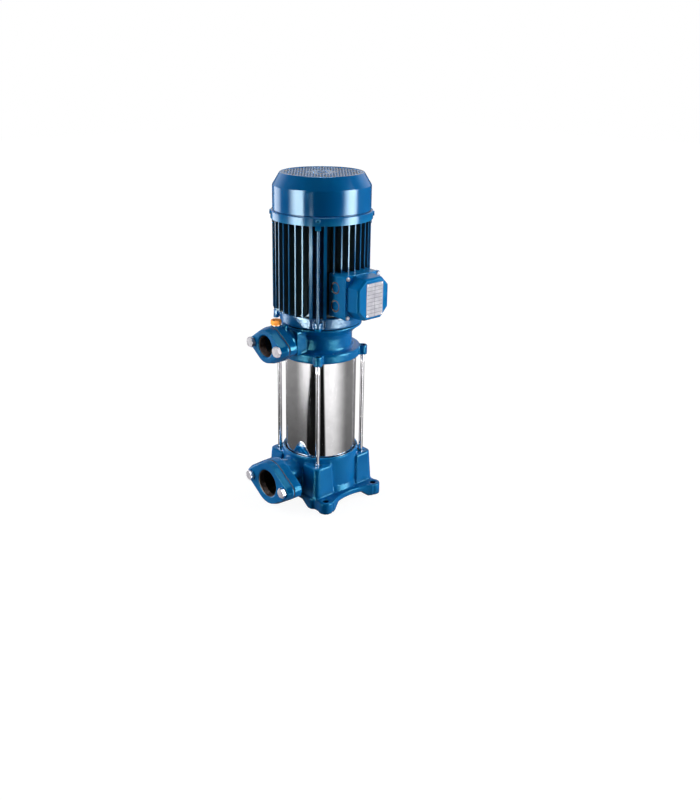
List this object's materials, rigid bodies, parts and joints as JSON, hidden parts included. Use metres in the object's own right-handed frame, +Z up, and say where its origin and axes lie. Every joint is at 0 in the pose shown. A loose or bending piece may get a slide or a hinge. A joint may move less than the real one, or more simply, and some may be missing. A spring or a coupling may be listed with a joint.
{
  "type": "vertical multistage pump",
  "caption": "Vertical multistage pump with finned electric motor, steel sleeve held by tie rods, cast base and head, and oval threaded ports that face the same way.",
  "frame": {"origin": "on the pump axis in the plane of the feet, at the centre of the foot bolt pattern", "axes": "+Z up along the shaft, -X the side both ports face, -Y the side of the terminal box"},
  "size_m": [0.2289, 0.2352, 0.6107],
  "materials": {
    "blue_casting": "gloss blue enamel over cast iron",
    "blue_sheet": "gloss blue enamel over pressed sheet steel",
    "blue_alloy": "gloss blue enamel over cast aluminium",
    "stainless": "polished stainless steel",
    "plated_steel": "bright zinc plated steel",
    "bare_steel": "ground steel",
    "laminations": "stacked electrical steel",
    "copper": "varnished copper winding",
    "brass": "machined brass",
    "gasket": "matt black rubber",
    "hydraulic_polymer": "moulded technopolymer",
    "black_plastic": "moulded dark plastic",
    "seal_face": "ceramic and carbon seal rings"
  },
  "bodies": {
    "pump_and_stator": {"pump_base": "blue_casting", "suction_gasket": "gasket", "suction_counter_flange": "blue_casting", "suction_flange_bolts": "plated_steel", "lower_sleeve_gasket": "gasket", "outer_sleeve": "stainless", "upper_sleeve_gasket": "gasket", "pump_head": "blue_casting", "delivery_gasket": "gasket", "delivery_counter_flange": "blue_casting", "delivery_flange_bolts": "plated_steel", "tie_rods": "stainless", "tie_rod_nuts": "plated_steel", "inlet_plate": "stainless", "stage_casings": "hydraulic_polymer", "seal_seat": "seal_face", "bleed_washer": "plated_steel", "lower_end_shield": "blue_alloy", "shield_screws": "plated_steel", "lower_bearing_outer_ring": "bare_steel", "motor_frame": "blue_alloy", "stator_core": "laminations", "stator_windings": "copper", "upper_end_shield": "blue_alloy", "upper_bearing_outer_ring": "bare_steel", "wave_washer": "bare_steel", "motor_tie_bolts": "blue_alloy", "fan_cover": "blue_sheet", "fan_cover_screws": "blue_sheet", "terminal_box": "blue_alloy", "terminal_box_gasket": "gasket", "terminal_box_lid": "blue_alloy", "lid_screws": "plated_steel", "terminal_block": "black_plastic", "terminal_studs": "brass"},
    "rotor": {"rotor_shaft": "bare_steel", "rotor_core": "laminations", "cooling_fan": "black_plastic", "fan_retaining_ring": "bare_steel", "lower_bearing_inner_ring": "bare_steel", "upper_bearing_inner_ring": "bare_steel", "bearing_ball_cages": "bare_steel", "impellers": "hydraulic_polymer", "lower_shaft_sleeve": "stainless", "shaft_end_nut": "plated_steel", "seal_rotating_head": "seal_face"},
    "bleed_plug": {"bleed_plug": "brass"}
  },
  "joints": [
    {"name": "shaft_spin", "type": "hinge", "parent": "pump_and_stator", "child": "rotor", "pos_m": [0, 0, 0.3], "axis": [0, 0, 1], "continuous": true},
    {"name": "bleed_plug_turn", "type": "hinge", "parent": "pump_and_stator", "child": "bleed_plug", "pos_m": [-0.1055, 0, 0.345], "axis": [0, 0, 1], "range_deg": [0, 720]}
  ]
}
